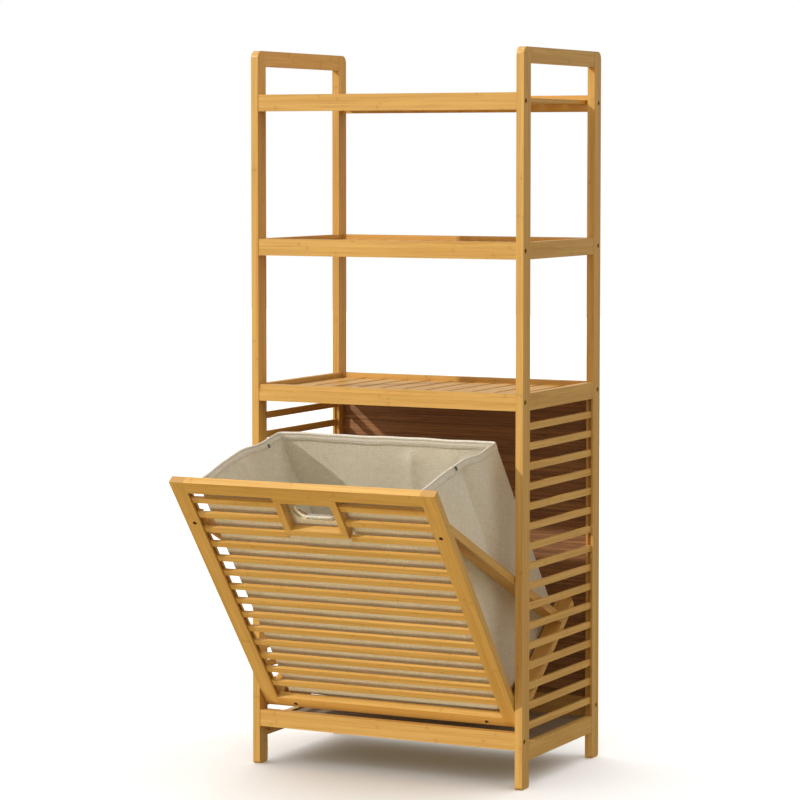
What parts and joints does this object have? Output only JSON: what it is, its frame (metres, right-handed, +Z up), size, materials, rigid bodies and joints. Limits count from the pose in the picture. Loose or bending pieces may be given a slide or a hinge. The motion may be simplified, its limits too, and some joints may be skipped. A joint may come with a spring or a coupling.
{
  "type": "slatted bathroom rack with a tilt-out laundry hamper",
  "caption": "Bamboo rack with open slatted shelves above a louvred cabinet whose whole front is a hamper with a canvas bag that tilts out on pins at its foot.",
  "frame": {"origin": "on the floor, at the centre of the bounding box in plan, with the hamper tilted open as stored", "axes": "+Z up, -Y out of the front that the hamper tilts towards, +X along the width, to the right of someone facing the front"},
  "size_m": [0.54, 0.6646, 1.3],
  "materials": {
    "bamboo": "clear satin lacquer on laminated bamboo",
    "bamboo_strips": "clear satin lacquer on thin bamboo strips",
    "back_panel": "dark walnut stain, satin",
    "base_board": "matte grey-brown board",
    "dark_fasteners": "bronzed, satin",
    "pivot_steel": "plain zinc",
    "canvas": "plain-woven natural canvas",
    "bag_ring": "polished nickel plate"
  },
  "bodies": {
    "cabinet": {"left_front_post": "bamboo", "left_rear_post": "bamboo", "right_front_post": "bamboo", "right_rear_post": "bamboo", "left_handle_rail": "bamboo", "right_handle_rail": "bamboo", "left_middle_rung": "bamboo", "right_middle_rung": "bamboo", "left_cabinet_rung": "bamboo", "right_cabinet_rung": "bamboo", "left_base_rung": "bamboo", "right_base_rung": "bamboo", "left_side_slats": "bamboo_strips", "right_side_slats": "bamboo_strips", "top_shelf_front_rail": "bamboo", "top_shelf_rear_rail": "bamboo", "top_shelf_boards": "bamboo_strips", "middle_shelf_front_rail": "bamboo", "middle_shelf_rear_rail": "bamboo", "middle_shelf_boards": "bamboo_strips", "lower_shelf_front_rail": "bamboo", "lower_shelf_rear_rail": "bamboo", "lower_shelf_boards": "bamboo_strips", "base_front_rail": "bamboo", "base_rear_rail": "bamboo", "base_board": "base_board", "base_cleats": "bamboo", "back_panel": "back_panel", "frame_bolts": "dark_fasteners", "stop_blocks": "bamboo"},
    "hamper": {"hamper_left_stile": "bamboo", "hamper_right_stile": "bamboo", "hamper_top_rail": "bamboo", "hamper_bottom_rail": "bamboo", "hamper_slats": "bamboo_strips", "hand_opening_header": "bamboo", "hand_opening_posts": "bamboo", "hand_opening_sill": "bamboo", "left_runner": "bamboo", "right_runner": "bamboo", "left_brace": "bamboo", "right_brace": "bamboo", "bag_bearers": "bamboo", "pivot_pins": "pivot_steel", "hamper_screws": "dark_fasteners", "bag_front_panel": "canvas", "bag_rear_panel": "canvas", "bag_left_panel": "canvas", "bag_right_panel": "canvas", "bag_floor": "canvas", "bag_hand_ring": "bag_ring"}
  },
  "joints": [
    {"name": "hamper_tilt", "type": "hinge", "parent": "cabinet", "child": "hamper", "pos_m": [0, -0.00318, 0.141], "axis": [1, 0, 0], "range_deg": [-38, 0]}
  ]
}
